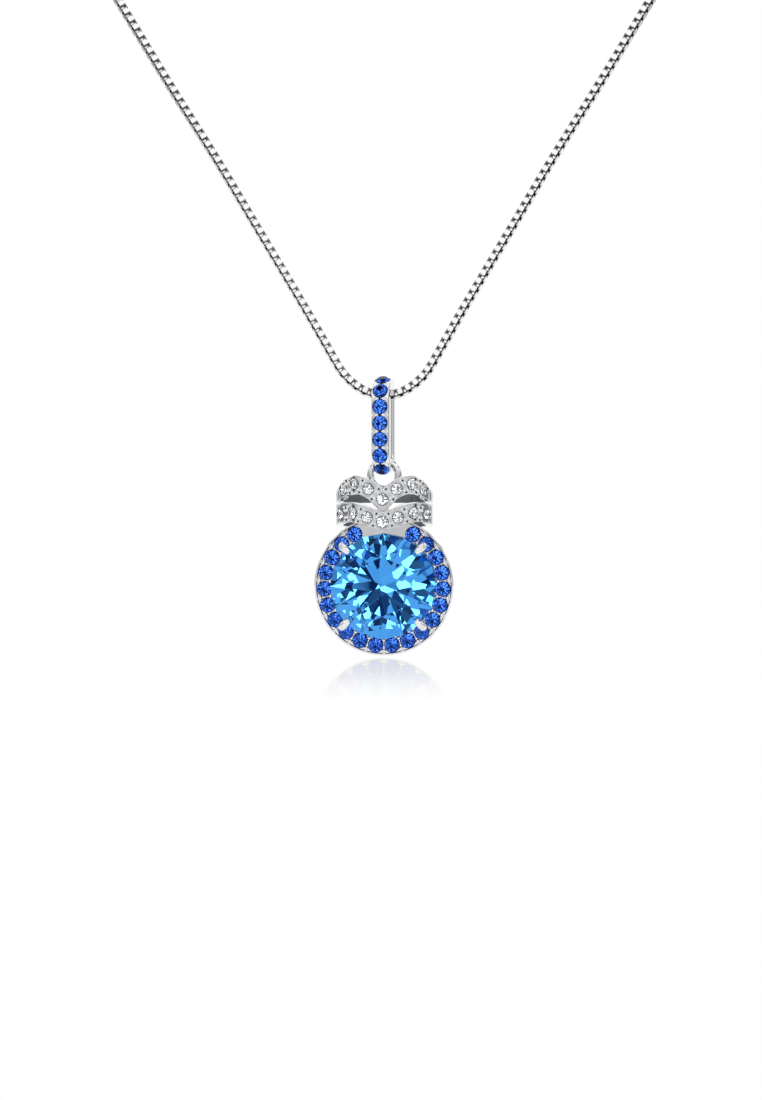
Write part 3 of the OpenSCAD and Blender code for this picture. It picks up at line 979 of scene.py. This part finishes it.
# A claw's middle line and its radius there, closed by a round tip.
claw_line = list(smooth_line([(*p, r) for p, r in zip(CLAW_PATH, CLAW_RADII)], 6))
tip = claw_line[-1]
heading = claw_line[-1] - claw_line[-2]
heading /= np.linalg.norm(heading[:2])
for k in range(1, TIP_STEPS + 1):
    a = k * math.pi / 2 / TIP_STEPS
    end = tip[:2] + heading[:2] * tip[2] * math.sin(a)
    claw_line.append(np.array((*end, max(0.01, tip[2] * math.cos(a)))))
radii = [float(p[2]) for p in claw_line]
head_parts = []
for angle in around(CLAWS):
    path = turned_about_y([p[:2] for p in claw_line], math.pi / 4 + angle)
    head_parts.append(sweep("claw", path, radii, ROUND_STEPS, silver))
base_section = [
    (BASE_R + BASE_WIRE * math.cos(b), BASE_Y + BASE_WIRE * math.sin(b)) for b in around(ROUND_STEPS)
]
base_rings = [turned_about_y(base_section, a) for a in around(BASE_STEPS)]
head_parts.append(loft("base_ring", base_rings, True, silver))

head = joined("head_claws", head_parts, silver)
smooth(head, HEAD_SMOOTH)
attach(head, "pendant")
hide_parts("head")


# ---- Collar ------------------------------------------------------------------------------
# Two cast ribbons, each an oval band that wraps round the plate's top and dips to a point in
# front. Each has a rim along both edges and a sunk bed between, set with small clear stones.
HALF_W = 4.2
HALF_D = 2.6
RIBBON_T = 0.7
RIBBON_RIM = 0.13
BED_DEEP = 0.06
INNER_ROUND = 0.06
RIBBON_STEPS = 240
COLLAR_SEAT_DEEP = 1.2
COLLAR_SMOOTH = 30
# The section's outer face from an edge inwards, as (height from the edge, depth).
RIM_SECTION = [
    (0, 0.08), (0.02, 0.02), (0.05, 0), (RIBBON_RIM - 0.04, 0),
    (RIBBON_RIM - 0.01, 0.02), (RIBBON_RIM + 0.01, BED_DEEP),
]
# Beads on either side of the gap between two stones, as (across the ribbon, along it, radius),
# and the hole that the beading tool leaves between them.
COLLAR_BEADS = [(0.3, 0.13, 0.15), (0.58, 0.2, 0.12)]
COLLAR_HOLE_OFF = 0.53
COLLAR_HOLE_R = 0.085
COLLAR_HOLE_DEEP = 0.4

# Edges over the right half, as x and z about the halo's centre, from the middle to the end.
EDGES = {
    "upper_ribbon": {
        "top": [(0, 8.42), (0.7, 8.84), (1.3, 9.2), (2.25, 9.45), (3.2, 9.15), (3.9, 8.4), (4.4, 7.6)],
        "low": [(0, 6.32), (0.7, 6.85), (1.4, 7.55), (2.5, 7.93), (3.2, 7.75), (3.8, 7.3), (4.4, 7.05)],
        "back_top": [(0, 7.9), (2.2, 7.88), (3.5, 7.78), (4.4, 7.6)],
        "back_low": [(0, 7.1), (2.2, 7.08), (3.5, 7.06), (4.4, 7.05)],
    },
    "lower_ribbon": {
        "top": [(0, 6.34), (0.8, 6.6), (1.7, 6.95), (2.7, 7.16), (3.5, 7.14), (4.4, 6.9)],
        "low": [(0, 4.7), (0.6, 4.85), (1.3, 5.08), (2.1, 5.32), (3.2, 5.48), (4.4, 5.15)],
        "back_top": [(0, 6.05), (2.2, 6.1), (3.5, 6.4), (4.4, 6.9)],
        "back_low": [(0, 5.1), (2.2, 5.08), (3.5, 5.05), (4.4, 5.15)],
    },
}


def edge_height(points, x):
    """The height of an edge at a distance x from the middle."""
    fine = smooth_line(points, 8)
    return float(np.interp(abs(x), fine[:, 0], fine[:, 1]))


def oval_point(t):
    """A point of the collar's oval in plan and its outward normal, at an angle from the front."""
    x, y = HALF_W * math.sin(t), -HALF_D * math.cos(t)
    return Vector((x, y, 0)), Vector((x / HALF_W**2, y / HALF_D**2, 0)).normalized()


def ribbon_rings(edges):
    """Sections of a ribbon round the oval. Its front edges pass into its back ones at the ends."""
    rings = []
    for t in around(RIBBON_STEPS):
        place, out = oval_point(t)
        front = eased(math.cos(t), -0.25, 0.25)
        top, low = (
            front * edge_height(edges[edge], place.x)
            + (1 - front) * edge_height(edges["back_" + edge], place.x)
            for edge in ("top", "low")
        )
        section = [(low + h, d) for h, d in RIM_SECTION]
        section += [(low + (top - low) * share, BED_DEEP) for share in (0.35, 0.5, 0.65)]
        section += [(top - h, d) for h, d in RIM_SECTION[::-1]]
        section += [
            (top, RIBBON_T - INNER_ROUND), (top - INNER_ROUND, RIBBON_T),
            (low + INNER_ROUND, RIBBON_T), (low, RIBBON_T - INNER_ROUND),
        ]
        rings.append([place - out * d + Vector((0, 0, z)) for z, d in section])
    return rings


def satin_silver_painted_shade():
    """Silver as it comes from the tumbler, unpolished, for the inside of the collar: rough and finely
    grained, its tone made darker as painted shade.
    """
    material, tree, shader, place = new_material("silver_satin_inside_painted_shade")
    grain = add(tree, "ShaderNodeTexNoise", {"Vector": place, "Scale": 1 / (0.15 * MM), "Detail": 3})
    shade = add(
        tree,
        "ShaderNodeMix",
        {0: grain.outputs["Fac"], 6: linear("#8C8E92"), 7: linear("#A3A5A9")},
        data_type="RGBA",
    )
    bump = add(tree, "ShaderNodeBump", {"Height": grain.outputs["Fac"], "Distance": 0.004 * MM})
    tree.links.new(shade.outputs[2], shader.inputs["Base Color"])
    tree.links.new(bump.outputs[0], shader.inputs["Normal"])
    shader.inputs["Metallic"].default_value = 1
    shader.inputs["Roughness"].default_value = 0.35
    return material


satin_and_painted_shade = satin_silver_painted_shade()


def ribbon(node, stones):
    """One ribbon, drilled for its stones, unpolished and darker inside as painted shade, with its beads.
    """
    piece = loft(node + "_pave", ribbon_rings(EDGES[node]), True, silver)
    piece.data.materials.append(satin_and_painted_shade)
    # Faces that look into the collar take the unpolished silver, whose darker tone is painted shade.
    for face in piece.data.polygons:
        inward = Vector((face.center.x / HALF_W**2, face.center.y / HALF_D**2, 0)).normalized()
        if face.normal.dot(inward) < -0.5:
            face.material_index = 1
    seats = [Seat(stone) for stone in stones]
    cutters = [seat_cutter(stone, COLLAR_SEAT_DEEP) for stone in stones]
    places = []
    for left, right in zip(seats, seats[1:]):
        middle = (left.middle + right.middle) / 2
        t = math.asin(max(-1, min(1, middle.x / HALF_W)))
        place, out = oval_point(t)
        run = (right.middle - left.middle).normalized()
        across = out.cross(run).normalized()
        across *= 1 if across.z > 0 else -1
        centre = Vector((place.x, place.y, middle.z)) - out * BED_DEEP
        for side in (-1, 1):
            for off, along, r in COLLAR_BEADS:
                places.append((centre + across * side * off + run * along, r))
                places.append((centre + across * side * off - run * along, r))
            hole = centre + across * side * COLLAR_HOLE_OFF
            cutters.append(pin_cutter(hole, out, COLLAR_HOLE_R, COLLAR_HOLE_DEEP))
    drilled(piece, cutters)
    smooth(piece, COLLAR_SMOOTH)
    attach(piece, "pendant")
    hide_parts(node)
    beads(node + "_beads", "pendant", places)


ribbon("upper_ribbon", UPPER)
ribbon("lower_ribbon", LOWER)

# The bar inside the collar, and the ring soldered into the dip of the upper ribbon.
BRIDGE_EDGE = 0.08
RING_EDGE = 0.02
finished("collar_bridge", "pendant", silver, BRIDGE_EDGE)
finished("top_ring", "pendant", silver, RING_EDGE)


# ---- Bail --------------------------------------------------------------------------------
# A closed loop that rides on the chain: a wide band down the front, set with blue stones, that
# draws in to a round wire where it passes through the ring, and a plainer band behind.
BAIL_YAW = math.radians(-8)
BAIL_SLOT = 0.85
BAIL_T = 1.05
BAIL_W = 1.5
BAIL_BACK_W = 1.2
BAIL_CORNER = 0.12
CHAIN_PLAY = 0.06
BAIL_HIGH = ARM[0][1] + CHAIN_W / 2 + CHAIN_PLAY - BAIL_SLOT
BAIL_LOW = 11.34
BAIL_SEAT_DEEP = 0.95
BAIL_SMOOTH = 35
WIRE_R = 0.4
WIRE_ARC = 1.45
# The wire's section stays straight this far between its corners, so that no points meet.
WIRE_FLAT = 0.001
# Round the foot, in degrees from the front: the band draws in to wire, and widens again.
WIRE_IN = (50, 76)
WIRE_OUT = (104, 128)
TOP_STEPS = 48
LEG_STEPS = 24
FOOT_STEPS = 72
# Beads on either side of the gap between two stones, as (distance across the band, radius).
BAIL_BEADS = [(0.3, 0.19), (0.62, 0.13)]
BAIL_HOLE_R = 0.1
BAIL_HOLE_DEEP = 0.3


def rounded_rectangle(w, h, r, n):
    """Points round a rectangle with rounded corners, centred, n to each corner."""
    points = []
    for q, (sx, sy) in enumerate(((1, 1), (-1, 1), (-1, -1), (1, -1))):
        for k in range(n):
            a = math.pi / 2 * (q + k / (n - 1))
            points.append((sx * (w / 2 - r) + r * math.cos(a), sy * (h / 2 - r) + r * math.sin(a)))
    return points


def bail_ring(angle, z, wide, wire):
    """A section of the bail at an angle round its loop, 0 at the back and a quarter turn at the
    top, about the height z. wire goes from 0, flat band, to 1, round wire."""
    width = wide + (2 * WIRE_R - wide) * wire
    thick = BAIL_T + (2 * WIRE_R - BAIL_T) * wire
    middle = BAIL_SLOT + BAIL_T / 2 + (WIRE_ARC - BAIL_SLOT - BAIL_T / 2) * wire
    corner = BAIL_CORNER + (WIRE_R - WIRE_FLAT - BAIL_CORNER) * wire
    out = Vector((0, math.cos(angle), math.sin(angle)))
    turn = Matrix.Rotation(BAIL_YAW, 3, "Z")
    return [
        turn @ (Vector((x, 0, z)) + out * (middle + depth))
        for x, depth in rounded_rectangle(width, thick, corner, 6)
    ]


# Over the top, down the front leg, round the foot, and up the back leg.
bail_rings = []
for k in range(TOP_STEPS + 1):
    wide = BAIL_BACK_W + (BAIL_W - BAIL_BACK_W) * eased(k, 0, TOP_STEPS)
    bail_rings.append(bail_ring(math.pi * k / TOP_STEPS, BAIL_HIGH, wide, 0))
for k in range(1, LEG_STEPS):
    z = BAIL_HIGH + (BAIL_LOW - BAIL_HIGH) * k / LEG_STEPS
    bail_rings.append(bail_ring(math.pi, z, BAIL_W, 0))
for k in range(FOOT_STEPS + 1):
    degrees = 180 * k / FOOT_STEPS
    wide = BAIL_W if degrees < 90 else BAIL_BACK_W
    wire = eased(degrees, *WIRE_IN) * (1 - eased(degrees, *WIRE_OUT))
    bail_rings.append(bail_ring(math.pi + math.pi * k / FOOT_STEPS, BAIL_LOW, wide, wire))
for k in range(1, LEG_STEPS):
    z = BAIL_LOW + (BAIL_HIGH - BAIL_LOW) * k / LEG_STEPS
    bail_rings.append(bail_ring(2 * math.pi, z, BAIL_BACK_W, 0))
bail = loft("bail_pave", bail_rings, True, silver)

# Beads in the gaps between the bail's stones, at both edges of the band, and a hole by each pair.
bail_cutters = [seat_cutter(node, BAIL_SEAT_DEEP) for node in BAIL]
bail_places = []
bail_seats = [Seat(node) for node in BAIL]
for above, below in zip(bail_seats, bail_seats[1:]):
    out = (above.out + below.out).normalized()
    run = (below.middle - above.middle).normalized()
    across = run.cross(out).normalized()
    centre = (above.middle + below.middle) / 2
    for side in (-1, 1):
        bail_places += [(centre + across * side * off, r) for off, r in BAIL_BEADS]
    bail_cutters.append(pin_cutter(centre, out, BAIL_HOLE_R, BAIL_HOLE_DEEP))
drilled(bail, bail_cutters)
smooth(bail, BAIL_SMOOTH)
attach(bail, "bail")
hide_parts("bail")
beads("bail_beads", "bail", bail_places)
